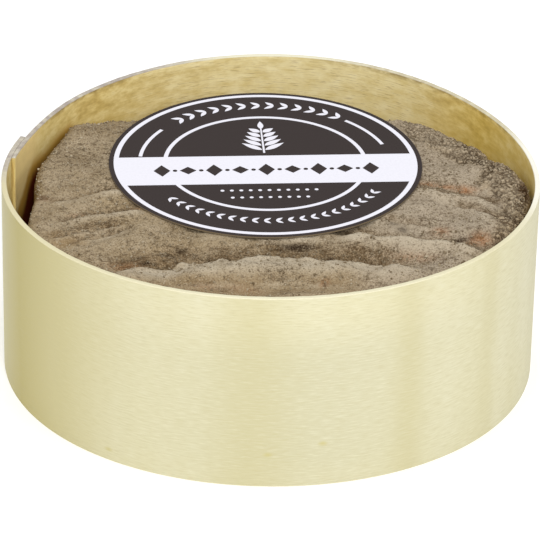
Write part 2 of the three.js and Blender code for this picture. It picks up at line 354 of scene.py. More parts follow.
def inside_finish():
    wood = Finish("veneer_inside", roughness=0.6, specular=0.25)
    fibres = wood.grain(flat_strip(wood, 4 * FIBRE_LONG, FIBRE_FINE), 3.0, 0.6)
    dashes = wood.grain(flat_strip(wood, DASH_LONG, DASH_HIGH))
    mottle = wood.grain(flat_strip(wood, MOTTLE_LONG, MOTTLE_HIGH), 3.0, 0.65)
    base = wood.blend(wood.scaled(mottle, 0.35, 0.65), shade(253, 243, 199), shade(243, 229, 172))
    wood.colour(wood.coats(base, [
        (wood.broken("ochre", mottle, 0.3, 0.6, 0.75), (244, 209, 95)),
        (wood.scaled(fibres, 0.5, 0.78, 0, 0.35), (206, 180, 112)),
        (wood.painted("smooth_lap"), (252, 226, 156)),
        (wood.broken("stained", mottle, 0.38, 0.72), (158, 124, 66)),
        (wood.broken("dashed", dashes, 0.56, 0.7), (150, 118, 64)),
        (wood.broken("brown_arris", mottle, 0.4, 0.6, 0.25), (126, 100, 60)),
        (wood.painted("tide"), (202, 157, 66)),
        # partly the wet stain, partly painted shade in the gap beside the cheese
        (wood.painted("soaked_and_shaded"), (112, 42, 8)),
    ]))
    wood.relief([(fibres, 0.035), (mottle, 0.03)])
    return wood.material


inside_wood = inside_finish()


# %% [markdown]
# The cut edge of the strip shows end-on as the rim. It is freshest on the right, yellowed in
# front and brown in places behind on the right, and has a greyish lilac bloom from the back to
# the left, where ash and damp have reached it. In front and on the left its colour is also
# darkened as painted shade, so that its top, which faces the light, comes out no lighter than
# the band. One finish does it all: each look is a number stored on the mesh, and noise breaks
# up the bloom and the brown.

# %% Finish of the cut edge and of the strip's inner end
def edge_finish():
    edge = Finish("veneer_cut_edge", roughness=0.75, specular=0.3)
    fibres = edge.noise(0.35)
    breaks = edge.noise(2.0, 3.0)
    greyed = edge.blend(fibres, shade(188, 178, 170), shade(150, 138, 128))
    browned = edge.blend(fibres, shade(190, 174, 138), shade(146, 124, 86))
    base = edge.coats(edge.blend(fibres, shade(238, 234, 210), shade(228, 223, 194)), [
        (edge.painted("fresh"), (246, 243, 230)),
        # partly painted shade: darkens the rim's top in front and on the left
        (edge.painted("yellowed_and_shaded"), (213, 203, 160)),
    ])
    base = edge.blend(edge.broken("bloom", breaks, 0.3, 0.62, 0.45), base, greyed)
    edge.colour(edge.blend(edge.broken("browned", breaks, 0.3, 0.62, 0.45), base, browned))
    edge.relief([(fibres, 0.08)])
    return edge.material


def end_finish():
    end = Finish("veneer_strip_end", roughness=0.75, specular=0.3)
    fibres = end.grain(end.stretched((0.3, 0.3, 4)), roughness=0.6)
    end.colour(end.blend(end.scaled(fibres, 0.35, 0.7), shade(226, 206, 134), shade(184, 152, 84)))
    end.relief([(fibres, 0.06)])
    return end.material


edge_wood = edge_finish()
end_wood = end_finish()


# %% [markdown]
# ## Bending the strip
#
# A hoop could be a cylinder with a solidify modifier, but a real one is a strip that passes
# over its own end. So the strip is built as one: a small closed outline, its section, is
# carried along an angle that runs a little more than once round. Where it starts to pass
# under its outer end, the radius draws in by one thickness, and the very end is pared thinner.
# The slow waves in the radius are those of the measured frame.

# %% Path of the strip
HOOP_OVAL = 0.27
HOOP_TWO_WAVE = 0.49
HOOP_THREE_WAVE = -1.09
HOOP_FOUR_WAVE = 0.2
HOOP_SHARE_AT_FOOT = 0.66
LAP_OUTER_END = 166.0
LAP_INNER_END = 177.0
LAP_BEND_START = 138.0
LAP_SEAM = 0.04
PARED_END, PARED_LONG = 0.25, 8.0
HAIR = 0.02
STRIP_STEP = 0.5


def hoop_wave(angle, z):
    share = mix(HOOP_SHARE_AT_FOOT, 1, z / CASE_HEIGHT)
    a = np.radians(angle)
    two = HOOP_TWO_WAVE * np.sin(2 * a) - HOOP_OVAL * np.cos(2 * a)
    return share * (two + HOOP_THREE_WAVE * np.sin(3 * a) + HOOP_FOUR_WAVE * np.cos(4 * a))


def outer_radius(along, z):
    bend = smooth((along - LAP_BEND_START - 360) / (LAP_OUTER_END - LAP_BEND_START))
    return CASE_RADIUS - HAIR - (VENEER + LAP_SEAM) * bend + hoop_wave(along, z)


def on_hoop(along, depth, z):
    """A point of the strip: angle along it, depth in from its outer face, height."""
    pared = smooth((along - 360 - LAP_INNER_END + PARED_LONG) / PARED_LONG)
    r = outer_radius(along, z) - depth * (1 - PARED_END * pared)
    return around(np.radians(along), r, z + rim_rise(along) * z / CASE_HEIGHT)


# %% Section of the strip
EDGE_ROUNDING = 0.18
WALL_ROWS = 40
EDGE_CUT, EDGE_CUT_LONG = 0.1, 2.2


def strip_section():
    """The outline of the strip as (depth from the outer face, height, kind of surface)."""
    q = EDGE_ROUNDING
    corner = [math.radians(a) for a in (0, 30, 60, 90)]
    rows = np.linspace(q, CASE_HEIGHT - q, WALL_ROWS)
    outline = [(0, z, "outside") for z in rows]
    top, bottom = CASE_HEIGHT - q, q
    outline += [(q - q * math.cos(a), top + q * math.sin(a), "edge") for a in corner[1:]]
    outline += [(VENEER - q + q * math.sin(a), top + q * math.cos(a), "edge") for a in corner[:-1]]
    outline += [(VENEER, z, "inside") for z in rows[::-1]]
    outline += [(VENEER - q + q * math.cos(a), bottom - q * math.sin(a), "edge") for a in corner[1:]]
    outline += [(q - q * math.sin(a), bottom - q * math.cos(a), "edge") for a in corner[:-1]]
    return outline


section = strip_section()
print("points in the strip's section:", len(section))


# %% Build the hoop
def build_hoop():
    alongs = np.arange(LAP_OUTER_END, LAP_INNER_END + 360 + STRIP_STEP / 2, STRIP_STEP)
    depths = np.array([s[0] for s in section])
    heights = np.array([s[1] for s in section])
    columns, rows = len(alongs), len(section)
    along = np.repeat(alongs[:, None], rows, axis=1)
    depth = np.repeat(depths[None, :], columns, axis=0)
    height = np.repeat(heights[None, :], columns, axis=0)
    points = on_hoop(along, depth, height)
    ragged = EDGE_CUT * (0.5 + 0.5 * unevenness(points * (1, 1, 0), EDGE_CUT_LONG, 31))
    points[..., 2] -= ragged * ramp(height, CASE_HEIGHT - 1, CASE_HEIGHT)
    faces = grid_faces(columns, rows, False, True)
    kinds = {"outside": 0, "inside": 1, "edge": 2, "inner end": 3}
    one_column = []
    for j in range(rows):
        pair = {section[j][2], section[(j + 1) % rows][2]}
        one_column.append(kinds[pair.pop()] if len(pair) == 1 else kinds["edge"])
    slots = one_column * (columns - 1)
    faces += [tuple(range(rows)), tuple(range((columns - 1) * rows, columns * rows))[::-1]]
    slots += [kinds["edge"], kinds["inner end"]]
    woods = [outside_wood, inside_wood, edge_wood, end_wood]
    hoop = make_piece("bent_hoop", points.reshape(-1, 3), faces, woods, slots)
    return hoop, along.ravel(), height.ravel()


hoop, strip_along, strip_height = build_hoop()


# %% [markdown]
# The finishes above need to know where each point lay on the flat strip, and where it has
# aged. The first is a UV map in metres, the others are plain numbers on the points. Computing
# them in code beats painting by hand, because they stay true when a size changes.

# %% Store the flat strip on the hoop
def store_numbers(piece, name, values):
    attribute = piece.data.attributes.new(name, "FLOAT", "POINT")
    attribute.data.foreach_set("value", np.asarray(values, dtype=np.float32).ravel())


def store_flat_strip():
    mesh = hoop.data
    flat = np.stack([np.radians(strip_along) * CASE_RADIUS * MM, strip_height * MM], axis=-1)
    corners = np.zeros(len(mesh.loops), dtype=np.int32)
    mesh.loops.foreach_get("vertex_index", corners)
    layer = mesh.uv_layers.new(name="flat_strip")
    layer.data.foreach_set("uv", flat[corners].astype(np.float32).ravel())


store_flat_strip()


# %% Store where the hoop has aged
WARM_STRIPES = [
    # angle round the hoop, half its width in degrees, how strong
    (267, 9, 0.28), (238, 5, 0.15), (301, 4, 0.3), (323, 3, 0.2), (52, 5, 0.4), (118, 7, 0.4),
]
# Each list below is pairs: an angle round the hoop and the value there. The last one's values
# are heights in millimetres.
WARM_ROUND = [
    (150, 0), (168, 0.2), (184, 0.15), (196, 0.62), (206, 0.95), (222, 0.6), (240, 0.1),
    (258, 0.05), (280, 0),
]
OCHRE_ROUND = [
    (0, 0.7), (20, 0.75), (34, 0.95), (45, 0.7), (56, 0.3), (80, 0.15), (112, 0.3), (135, 0.65),
    (158, 0.55), (300, 0.4),
]
STAINED_ROUND = [
    (0, 0.1), (24, 0.25), (34, 0.6), (48, 0.5), (58, 0.2), (90, 0.2), (118, 0.4), (140, 0.7),
    (160, 0.2),
]
# how far the rim is yellowed and darkened by painted shade, round the hoop
YELLOWED_AND_SHADED_ROUND = [(176, 0), (190, 0.8), (225, 0.65), (262, 0.3), (300, 0.35), (325, 0.6), (350, 0)]
# how high the tide stands; the dark below it is partly painted shade for the gap
SOAKED_AND_SHADED_BELOW = [
    (100, 24), (128, 31), (138, 34), (143.5, 36.8), (145.5, 38), (149.5, 37.6), (152.3, 37),
    (154.8, 36.4), (156.5, 36.3), (158, 36.3), (161.5, 36.6), (164.4, 36.6), (167.2, 35.4),
    (169, 33.7), (171.2, 32.1), (174, 30.8), (175.3, 29.8), (177, 29), (186, 28), (200, 28),
    (230, 22),
]


def round_the_hoop(turn, places):
    angles, values = np.array(places, dtype=float).T
    return np.interp(turn, angles, values, period=360)


def warm_wood(turn):
    """The outside is warmer at its end on the left and in a few broad upright stripes."""
    warm = round_the_hoop(turn, WARM_ROUND)
    for angle, half, strong in WARM_STRIPES:
        warm = np.maximum(warm, strong * np.exp(-((turn - angle) / half) ** 2))
    return warm


def age_hoop():
    turn = np.mod(strip_along, 360)
    z = strip_height
    in_front = np.exp(-((turn - 277) / 36) ** 2)
    below_rim = ramp(z, 41, 27) * mix(0.7, 1, ramp(z, 0, 8))
    near_rim = ramp(z, CASE_HEIGHT - 16, CASE_HEIGHT - 2)
    at_arris = ramp(z, CASE_HEIGHT - 0.9, CASE_HEIGHT - 0.3)
    brown_side = ramp(turn, 8, 28) * ramp(turn, 86, 68) + ramp(turn, 118, 132) * ramp(turn, 160, 150)
    tide = round_the_hoop(turn, SOAKED_AND_SHADED_BELOW)
    deep = tide - mix(0.9, 3.0, ramp(turn, 163, 170))
    numbers = {
        "warm": warm_wood(turn),
        # painted shade on the outside: darker from below the rim towards the foot, most of all in front
        "painted_low_shade": (0.05 + 0.95 * in_front) * below_rim,
        "ochre": round_the_hoop(turn, OCHRE_ROUND),
        "stained": round_the_hoop(turn, STAINED_ROUND) * mix(0.2, 0.9, near_rim),
        "dashed": 0.45 * ramp(turn, 40, 60) * ramp(turn, 140, 110),
        "smooth_lap": ramp(strip_along, 518, 526) * ramp(z, 20, 30),
        "brown_arris": 0.7 * brown_side * at_arris,
        "tide": ramp(z, tide + 1.2, tide - 1.2),
        "soaked_and_shaded": ramp(z, deep, deep - 3.5),
        "bloom": ramp(turn, 96, 122) * ramp(turn, 192, 178),
        "browned": 0.6 * ramp(turn, 12, 30) * ramp(turn, 84, 62),
        "yellowed_and_shaded": round_the_hoop(turn, YELLOWED_AND_SHADED_ROUND),
        "fresh": ramp(turn, 26, 12) + ramp(turn, 335, 352),
    }
    for name, values in numbers.items():
        store_numbers(hoop, name, values)


age_hoop()


# %% [markdown]
# ## The board at the foot
#
# A thin sawn disc closes the hoop. It is almost hidden, but it is what the underside shows,
# so it gets its own straight grain, which runs across the disc in one direction, and a
# slightly rounded edge. It follows the frame's board, whose outline gives way at the lap.

# %% Finish and shape of the board
BOARD_TURNS = 360
BOARD_ROUNDING = 0.3


def board_finish():
    wood = Finish("sawn_board", roughness=0.75, specular=0.3)
    lines = wood.grain(wood.stretched((40, 0.7, 2)), 3.0, 0.6)
    rings = wood.grain(wood.stretched((90, 6, 9)), 1.0)
    base = wood.blend(wood.scaled(rings, 0.35, 0.65), shade(236, 226, 186), shade(222, 207, 158))
    wood.colour(wood.coats(base, [(wood.scaled(lines, 0.45, 0.75, 0, 0.5), (190, 168, 116))]))
    wood.relief([(lines, 0.05)])
    return wood.material


def outline_of(node, turns):
    """How far the frame's piece reaches from the hoop's middle in each direction."""
    points = np.array([v.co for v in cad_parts[node].data.vertices]) / MM
    flat = points[:, :2] - MIDDLE
    reach = np.hypot(flat[:, 0], flat[:, 1])
    angle = np.degrees(np.arctan2(flat[:, 1], flat[:, 0])) % 360
    rim = reach > reach.max() * 0.9
    order = np.argsort(angle[rim])
    return np.interp(turns % 360, angle[rim][order], reach[rim][order], period=360)


def build_board():
    turns = np.linspace(0, 360, BOARD_TURNS, endpoint=False)
    reach = outline_of("case_board", turns)
    low, high, q = board_low[2], board_high[2], BOARD_ROUNDING
    rings = [
        # share of the board's reach, how far back from it, height
        (0.5, 0, low), (1, q, low), (1, 0, low + q), (1, 0, high - q), (1, q, high), (0.5, 0, high),
    ]
    a = np.radians(turns)
    points = np.stack([around(a, reach * share - back, z) for share, back, z in rings], axis=1)
    columns, rows = points.shape[:2]
    first_ring = np.arange(columns) * rows
    faces = grid_faces(columns, rows, True, False)
    faces += [tuple(first_ring.tolist())[::-1], tuple((first_ring + rows - 1).tolist())]
    points = points.reshape(-1, 3)
    return make_piece("foot_board", points, faces, [board_finish()], shade_smooth=False)


board = build_board()


# %% [markdown]
# ## The cheese: wrapping a fine net over the frame
#
# The frame's cheese has the main folds and shoulders, cut in facets of two millimetres. The
# real rind also has creases and crumbs far finer than that. Remeshing the frame's solid
# would work, but then top, side and foot would all be equally dense. Here a net of rings is
# thrown over it instead: rays leave a core inside the cheese, straight up, round the shoulder
# and down, and each stops where it meets the frame. The net is finest where the rind shows.

# %% Throw the net
FRONT_TURNS, FRONT_FROM, FRONT_TO = 650, 176.0, 392.0
BACK_TURNS = 300
CORE_RADIUS = 38.0
CORE_HEIGHT = 26.0
TOP_ABOVE_CORE = 14.0
SIDE_REACH = 54.8
FIRST_RING = 1.5
RINGS_UNDER_LABEL, RINGS_IN_THE_OPEN = 5, 66
UNDER_THE_CARD = 2.0
SIDE_HEIGHTS = [*np.linspace(39.4, 32, 14), *np.linspace(30, 3, 12)]
DOWNWARD_TILTS = (62, 72, 84)
FOOT_RADII = (34, 23, 12, 3)


def net_turns():
    front = np.linspace(FRONT_FROM, FRONT_TO, FRONT_TURNS, endpoint=False)
    back = np.linspace(FRONT_TO, FRONT_FROM + 360, BACK_TURNS, endpoint=False)
    return np.radians(np.concatenate([front, back]))


def label_edge(turn):
    """How far the label's edge is from the hoop's middle in one direction."""
    across = LABEL_FROM_MIDDLE @ (math.cos(turn), math.sin(turn))
    return across + math.sqrt(LABEL_RADIUS ** 2 - LABEL_FROM_MIDDLE @ LABEL_FROM_MIDDLE + across ** 2)


def net_rays(turn):
    """Each ring's ray in one direction, as (radius of the ray's start, its tilt up from level)."""
    edge = label_edge(turn) - UNDER_THE_CARD
    reaches = list(np.linspace(FIRST_RING, edge, RINGS_UNDER_LABEL, endpoint=False))
    reaches += list(np.linspace(edge, SIDE_REACH, RINGS_IN_THE_OPEN))
    rays = [(min(r, CORE_RADIUS), math.atan2(TOP_ABOVE_CORE, max(0, r - CORE_RADIUS))) for r in reaches]
    over_the_side = SIDE_REACH - CORE_RADIUS
    rays += [(CORE_RADIUS, math.atan2(z - CORE_HEIGHT, over_the_side)) for z in SIDE_HEIGHTS]
    rays += [(CORE_RADIUS, -math.radians(tilt)) for tilt in DOWNWARD_TILTS]
    rays += [(r, -math.pi / 2) for r in FOOT_RADII]
    return rays


def throw_net():
    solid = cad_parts["cheese"].data
    corners = [v.co / MM for v in solid.vertices]
    tree = BVHTree.FromPolygons(corners, [p.vertices for p in solid.polygons])
    net = []
    for turn in net_turns():
        out = Vector((math.cos(turn), math.sin(turn), 0))
        column = []
        for start, tilt in net_rays(turn):
            origin = Vector((MIDDLE[0], MIDDLE[1], CORE_HEIGHT)) + out * start
            heading = out * math.cos(tilt) + Vector((0, 0, math.sin(tilt)))
            column.append(tree.ray_cast(origin, heading)[0])
        net.append(column)
    return np.array(net)


net = throw_net()
print("net:", net.shape, "highest point %.2f" % net[..., 2].max())


# %% [markdown]
# The net still shows the frame's facets, so it is relaxed: every point moves towards the
# middle of its neighbours a few times. That rounds the facets and keeps the folds, which are
# wider.

# %% Relax the net
RELAX_SHARE = 0.6
NET_RELAX_TIMES, HOLLOW_RELAX_TIMES = 15, 40


def neighbours(values):
    """The mean of the four neighbours of each point of the net."""
    inner = np.concatenate([values[:, :1], values[:, :-1]], axis=1)
    outer = np.concatenate([values[:, 1:], values[:, -1:]], axis=1)
    return (np.roll(values, 1, 0) + np.roll(values, -1, 0) + inner + outer) / 4


def relaxed(values, times):
    for _ in range(times):
        values = mix(values, neighbours(values), RELAX_SHARE)
    return values


net = relaxed(net, NET_RELAX_TIMES)


def outward(values):
    """The direction out of the surface at each point of the net."""
    round_the_net = np.roll(values, -1, 0) - np.roll(values, 1, 0)
    down_the_net = np.gradient(values, axis=1)
    normal = np.cross(down_the_net, round_the_net)
    return normal / np.maximum(np.linalg.norm(normal, axis=-1, keepdims=True), 1e-9)


print("share of the net that faces up: %.2f" % (outward(net)[..., 2] > 0.5).mean())


# %% [markdown]
# ## Lips and crumbs in the rind
#
# As the paste slumped, the rind slid over itself and left lips: each is a rounded edge in front
# with an abrupt step down behind it, and the hollow behind rises slowly again. A plain groove
# would be the same on both sides and look drawn on. So every lip is a line on the plan with a
# saw-tooth profile across it, and the line wanders a little, as torn things do. A line that runs
# from left to right has its edge in front; the short one below the label runs the other way,
# so its step faces the viewer.

# %% Lips
LIPS = [
    # points on the plan, height of the step, reach of the hollow beside it
    ([(-33.5, -40), (-31.2, -38.2), (-29.1, -36.5), (-27, -35.3), (-22.5, -34.9), (-20.1, -34.2),
      (-18.5, -33), (-15.4, -33.7), (-12.5, -34.1), (-9.6, -32.5), (-7.5, -33.4), (-4.7, -31.8),
      (-0.3, -31), (4.2, -30.7), (6.9, -30.6), (8.7, -31.4), (11.8, -32.7), (16, -31.8),
      (19.3, -32.4), (22.8, -32.7), (26.5, -35), (30, -36.2), (35, -36)], 0.95, 3.6),
    ([(12, -25.2), (9.3, -26.1), (7.3, -26.6), (5.8, -27), (4.2, -26.9), (0, -26.7),
      (-3, -26.2)], 0.6, 1.2),
    ([(13, -20.4), (16, -21.2), (19, -22.6), (22, -24.6), (25, -24.3), (28, -24.4), (32, -24.9),
      (35.9, -25), (37.5, -26), (40, -26.7), (42.2, -27.8), (46, -28.3)], 0.8, 2.6),
    ([(29.5, 0), (31.6, -1), (33.7, -2.5), (36, -3.6), (40, -3.9), (43.2, -4.8), (45.3, -6.2),
      (48.5, -9.5)], 0.6, 2.0),
    ([(-46, -18.5), (-41.9, -18), (-38, -15.6), (-35.8, -14.7), (-32.7, -13.7), (-29.5, -14.2),
      (-26, -13)], 0.5, 1.6),
    ([(-46, -25.6), (-43.6, -25), (-41.2, -24), (-38.6, -22.3), (-33.9, -20.4), (-29, -19.3)], 0.5, 1.7),
    ([(-42.5, -27.3), (-40.5, -26.4), (-37.8, -24.7), (-32.9, -22.4), (-29.5, -21.8)], 0.35, 1.3),
    ([(-47, -10.2), (-44.1, -9.1), (-41.4, -8.1), (-38.7, -6.5), (-33.7, -4.8), (-30, -3.8)], 0.45, 1.5),
    ([(-22, -42), (-14, -41.8), (-3.9, -41.3), (0.2, -39.7), (3.2, -39.1), (6.3, -39.7),
      (10.4, -40.9), (17, -43)], 0.2, 1.2),
    ([(38, -7.6), (41, -8.6), (43.1, -10), (45, -12.8), (49.1, -16.8)], 0.4, 1.4),
    ([(14, -15.2), (22, -14.8), (30, -16.6), (36, -16.4)], 0.25, 1.8),
]
LINE_STEPS = 16
LIP_SCALE = 0.85
LIP_SHARPNESS = 0.3
LIP_WIDTH = 1.9
LIP_FADE = 0.14
FULL_LIP = 0.7
HOLLOW_DEEP = 0.6
STEP_BEHIND, STEP_WIDTH = 0.35, 0.45
WANDERS = [
    # size of the bends, how far a lip's line wanders, seeds for its two directions
    (3.4, 0.6, (11, 12)), (1.3, 0.3, (13, 14)),
]


def curve_through(stops):
    """Points of a smooth line through a few stops, by the Catmull-Rom rule."""
    p = np.array(stops, dtype=float)
    p = np.vstack([2 * p[0] - p[1], p, 2 * p[-1] - p[-2]])
    t = np.linspace(0, 1, LINE_STEPS, endpoint=False)[:, None]
    parts = []
    for a, b, c, d in zip(p, p[1:], p[2:], p[3:]):
        parts.append(0.5 * (2 * b + (c - a) * t + (2 * a - 5 * b + 4 * c - d) * t ** 2
                            + (3 * b - a - 3 * c + d) * t ** 3))
    return np.vstack(parts + [p[-2:-1]])


def off_line(flat, line):
    """How far each point of the plan is off a line, more than 0 in front, and how far along it."""
    nearest = np.full(flat.shape[:-1], np.inf)
    signed = np.zeros(flat.shape[:-1])
    along = np.zeros(flat.shape[:-1])
    for k in range(len(line) - 1):
        step = line[k + 1] - line[k]
        t = np.clip(((flat - line[k]) @ step) / (step @ step), 0, 1)
        away = flat - line[k] - t[..., None] * step
        reach = np.linalg.norm(away, axis=-1)
        nearer = reach < nearest
        side = np.where(away[..., 0] * step[1] - away[..., 1] * step[0] > 0, 1, -1)
        nearest = np.where(nearer, reach, nearest)
        signed = np.where(nearer, side * reach, signed)
        along = np.where(nearer, (k + t) / (len(line) - 1), along)
    return signed, along


def lip_relief(flat):
    """The height of the lips, and how much a place is furrow, crest (dust and painted light) and step.
    """
    level = np.concatenate([flat, np.zeros(flat.shape[:-1] + (1,))], axis=-1)
    wander = sum(far * jitter(level, size, seeds) for size, far, seeds in WANDERS)
    strength = np.clip(0.85 + 0.6 * unevenness(level, 4.0, 15), 0.2, 1.5)
    broken = smooth((unevenness(level, 1.8, 16) + 0.15) / 0.5)
    height, furrow, crest, step_edge = (np.zeros(flat.shape[:-1]) for _ in range(4))
    for stops, tall, reach in LIPS:
        off, along = off_line(flat + wander, curve_through(stops))
        present = smooth(along / LIP_FADE) * smooth((1 - along) / LIP_FADE) * strength
        front = smooth((off + LIP_SHARPNESS) / (2 * LIP_SHARPNESS))
        hollow_behind = np.exp(np.minimum(off, 0) / reach)
        lip_in_front = np.exp(-(off / LIP_WIDTH) ** 2)
        height += LIP_SCALE * tall * present * mix(-HOLLOW_DEEP * hollow_behind, lip_in_front, front)
        beside = 1 - smooth((np.abs(off) - 0.8 * reach) / (1.4 * reach))
        near = present * min(1, tall / FULL_LIP) * beside
        furrow = np.maximum(furrow, near * (1 - front))
        crest = np.maximum(crest, near * front)
        step_edge += broken * present * tall * np.exp(-((off + STEP_BEHIND) / STEP_WIDTH) ** 2)
    furrow, crest = np.clip(furrow, 0, 1), np.clip(crest, 0, 1)
    return height, furrow, crest * (1 - furrow), np.clip(step_edge, 0, 1)


plan = net[..., :2] - MIDDLE
plan_x, plan_y = plan[..., 0], plan[..., 1]
facing_up = smooth((outward(net)[..., 2] - 0.15) / 0.5)
lips, furrow, crest, step_edge = lip_relief(plan)
print("lips from %.2f to %.2f mm" % (lips.min(), lips.max()))


# %% [markdown]
# Along the right and the back the ash wasn't smoothed down. There it has caked into rounded
# clumps with cracks between them, which the finish paints dark as painted shade. Cell noise
# makes exactly that: middles are scattered, one in each cell of a grid, and a place is a crack
# where its two nearest middles are almost equally far off. The net is too wide for the thinnest
# cracks, so the finish adds those later with the same kind of noise, as thin lines of painted
# shade.

# %% Caked clumps
CLUMP_SIZE = 1.3
CRACK_WIDTH = 0.45
CLUMP_WARP = 0.65
SCATTER_COUNT = 4096
SCATTER_HASH = (73856093, 19349663, 83492791)
CAKED_FROM = [
    # where the caked ash begins: y on the plan, and from which x to the right
    (-30, 47), (-22, 46), (-17, 48), (-13, 46.3), (-7, 49.3), (-2, 46), (4, 43.5), (8, 44), (15, 39.8),
    (19, 35), (23, 30.8), (28, 28), (34, 23), (38, 16), (43, 6), (50, -6),
]


def cells(points, size, seed):
    """How far the nearest and the second nearest of the scattered middles are, in millimetres."""
    scattered = np.random.default_rng(seed).random((SCATTER_COUNT, 3))
    p = points / size
    cell = np.floor(p).astype(int)
    first = np.full(points.shape[:-1], np.inf)
    second = np.full(points.shape[:-1], np.inf)
    for shift in np.ndindex(3, 3, 3):
        at = cell + np.array(shift) - 1
        x, y, z = np.moveaxis(at * SCATTER_HASH, -1, 0)
        pick = (x ^ y ^ z) % SCATTER_COUNT
        away = np.linalg.norm(at + scattered[pick] - p, axis=-1) * size
        second = np.minimum(second, np.maximum(first, away))
        first = np.minimum(first, away)
    return first, second


def caked_ash():
    ys, xs = np.array(CAKED_FROM, dtype=float).T
    past = plan_x - np.interp(plan_y, ys, xs)
    ragged = 1.6 * unevenness(net, 4.5, 21) + 0.8 * unevenness(net, 1.8, 22)
    return smooth((past + ragged + 0.8) / 2.2) * facing_up


caked = caked_ash()
warped = net + CLUMP_WARP * jitter(net, 1.7, (27, 28, 29))
nearest, next_nearest = cells(warped, CLUMP_SIZE, 23)
crack_between = 1 - smooth((next_nearest - nearest) / CRACK_WIDTH)
crack_between *= 0.35 + 0.65 * smooth((unevenness(net, 2.6, 30) + 0.4) / 0.5)
clump = np.clip(1 - (nearest / (0.8 * CLUMP_SIZE)) ** 2, 0, 1)
missing = smooth((unevenness(net, 1.7, 24) - 0.25) / 0.35)
print("share of caked ash %.2f" % (caked > 0.5).mean())


# %% Press the relief into the net
# a pale patch behind the short lip, raised and painted paler: partly dust, partly painted light
PALE_SPOTS = [
    # place on the plan, how long, how wide, how strong
    ((5.8, -23.9), 3.6, 1.5, 1.5),
]
PALE_RISE = 0.35


def spots(places):
    """A number that is high at a few oval places on the plan."""
    total = np.zeros(net.shape[:2])
    for (x, y), long, wide, strong in places:
        away = ((plan_x - x) / long) ** 2 + ((plan_y - y) / wide) ** 2
        total = np.maximum(total, strong * np.exp(-away))
    return total * facing_up


pucker = 0.2 * unevenness(net, 6.5, 1) + 0.12 * unevenness(net, 3.0, 2)
grit = 0.09 * unevenness(net, 1.5, 3) + 0.06 * unevenness(net, 0.9, 4)
caked_relief = 0.2 * clump - 0.4 * crack_between - 0.3 * missing + 0.2 * unevenness(net, 3.2, 31)
raised = pucker + grit + lips * facing_up + caked * caked_relief + PALE_RISE * spots(PALE_SPOTS)

STAND_OFF = 0.12
CEILING_SLOPE = 0.5


def pressed_net():
    shaped = net + outward(net) * raised[..., None]
    flat = shaped[..., :2] - MIDDLE
    reach = np.hypot(flat[..., 0], flat[..., 1])
    turn = np.degrees(np.arctan2(flat[..., 1], flat[..., 0])) % 360
    along = np.where(turn < LAP_INNER_END, turn + 360, turn)
    room = outer_radius(along, shaped[..., 2]) - VENEER - STAND_OFF
    shrink = np.minimum(1, room / np.maximum(reach, 1e-6))
    shaped[..., :2] = MIDDLE + flat * shrink[..., None]
    beyond = np.linalg.norm(shaped[..., :2] - LABEL_MIDDLE, axis=-1) - LABEL_RADIUS
    ceiling = label_low[2] - STAND_OFF + CEILING_SLOPE * np.maximum(0, beyond)
    shaped[..., 2] = np.clip(shaped[..., 2], board_high[2] + STAND_OFF, ceiling)
    return shaped


rind = pressed_net()


# %% Build the cheese
def build_cheese(material):
    columns, rows = rind.shape[:2]
    faces = [tuple(reversed(f)) for f in grid_faces(columns, rows, True, False)]
    points = rind.reshape(-1, 3)
    top = np.array([MIDDLE[0], MIDDLE[1], rind[:, 0, 2].mean()])
    foot = np.array([MIDDLE[0], MIDDLE[1], rind[:, -1, 2].mean()])
    count = len(points)
    points = np.vstack([points, top, foot])
    for i in range(columns):
        here, there = i * rows, ((i + 1) % columns) * rows
        faces.append((count, here, there))
        faces.append((count + 1, there + rows - 1, here + rows - 1))
    return make_piece("ash_rind_cheese", points, faces, [material])


def stored(values):
    """The net's numbers, and 0 for the two points that close its top and its foot."""
    return np.append(values.ravel(), [0, 0])


# %% [markdown]
# ## The colour of the rind
#
# The rind is a dry grey-brown. What makes it read as ash and not as sand is that its colour
# follows its relief, partly as real dust and tint and partly as painted light and shade: the
# crest in front of a lip is pale and smooth, both dust and painted light; the furrow behind it is
# brown, with painted shade from the lip, and crumbly with dark specks; the step itself and the
# cracks are painted nearly black here and there, as painted shade; hollows are painted darker and
# bumps paler, as painted shade and light; and a few places show the rusty rind below. So the
# script stores those numbers on the mesh, and the node tree breaks them up with fine noise.

# %% Measure furrows, rust and dark places
RUST_SPOTS = [
    # place on the plan, how long, how wide, how strong
    ((33.4, 1.6), 2.2, 0.8, 0.8), ((37.3, 1.0), 2.6, 0.8, 0.8), ((41.2, 0.5), 2.4, 1.1, 0.95),
    ((35.8, -18.4), 2.0, 1.6, 0.65), ((43.7, -22.7), 2.6, 2.1, 0.9), ((30.5, -29.6), 4.0, 1.3, 0.4),
    ((11.3, -41.2), 0.9, 1.0, 0.7), ((-13, -43), 3.0, 1.2, 0.25), ((-5.5, -42.8), 4.0, 1.3, 0.25),
    ((-29.5, -34.2), 3.4, 1.6, 0.6), ((-40, -15.2), 2.4, 0.9, 0.35), ((-48.2, -7.5), 1.3, 1.2, 0.4),
    ((-28.5, -12.4), 1.6, 0.9, 0.4),
]
